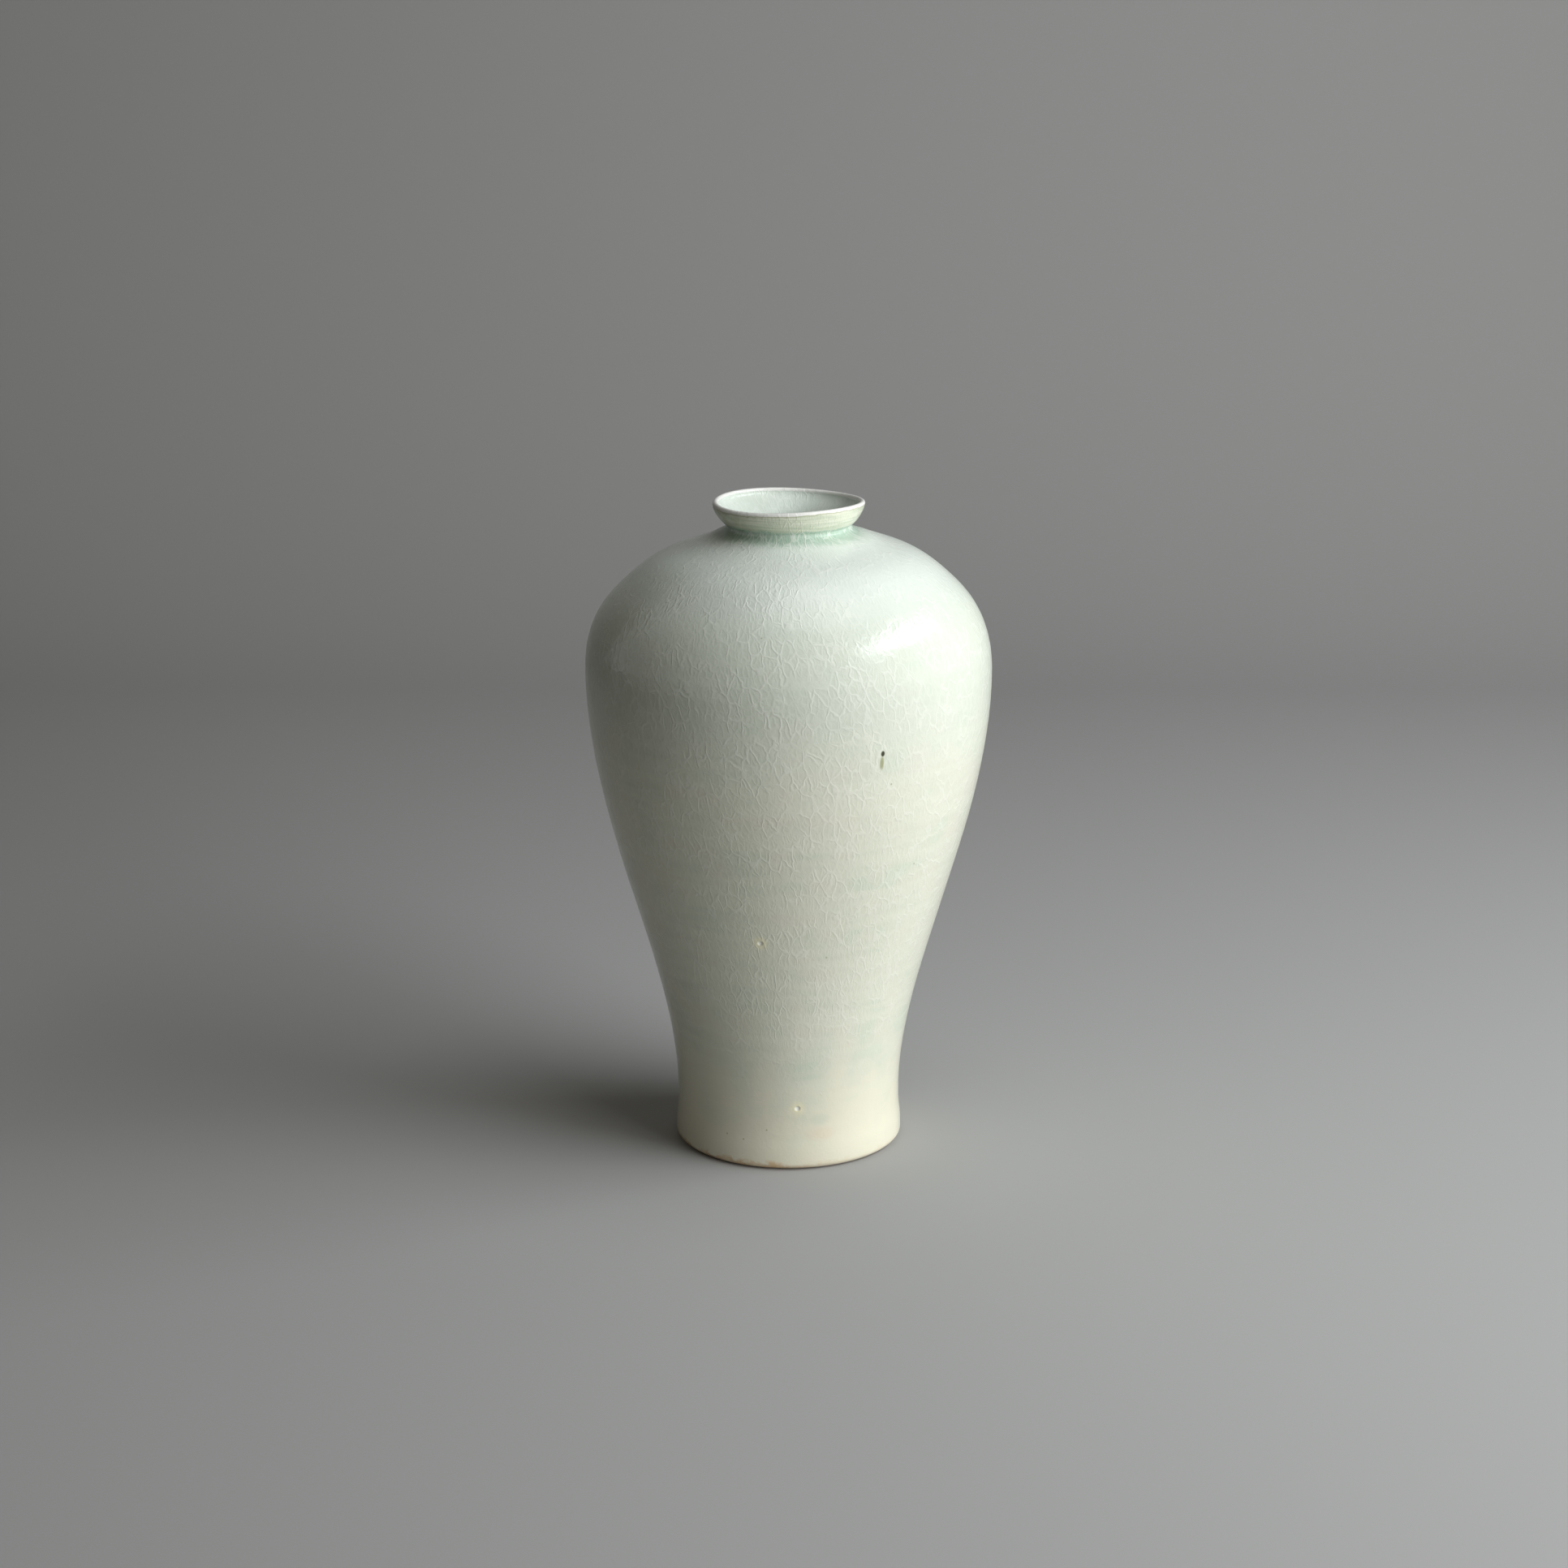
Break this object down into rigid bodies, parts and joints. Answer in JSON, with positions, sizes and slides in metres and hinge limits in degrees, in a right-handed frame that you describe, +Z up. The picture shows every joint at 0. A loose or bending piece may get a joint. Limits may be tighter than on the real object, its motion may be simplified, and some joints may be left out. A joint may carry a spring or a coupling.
{
  "type": "meiping vase",
  "caption": "Tall glazed stoneware vase with a broad high shoulder, a short neck, a small dished mouth and a narrow ring foot.",
  "frame": {"origin": "centre of the foot's resting ring, in the plane that the vase stands on", "axes": "+Z up along the axis of revolution, towards the mouth; the picture looks along +Y, with +X to its right"},
  "size_m": [0.184, 0.184, 0.3],
  "materials": {
    "stoneware": "bare fired stoneware, matte, flashed orange-brown at the glaze's edge",
    "celadon_glaze": "pale celadon, finely crackled, soft gloss, thick and greener round the neck",
    "lining_glaze": "the same celadon, thinner and paler, crackled"
  },
  "bodies": {
    "root": {"lower_body": "stoneware", "upper_body": "stoneware", "neck_and_mouth": "stoneware", "body_seam_coil": "stoneware", "neck_seam_coil": "stoneware", "outer_glaze": "celadon_glaze", "inner_glaze": "lining_glaze", "base_glaze": "lining_glaze"}
  },
  "joints": []
}
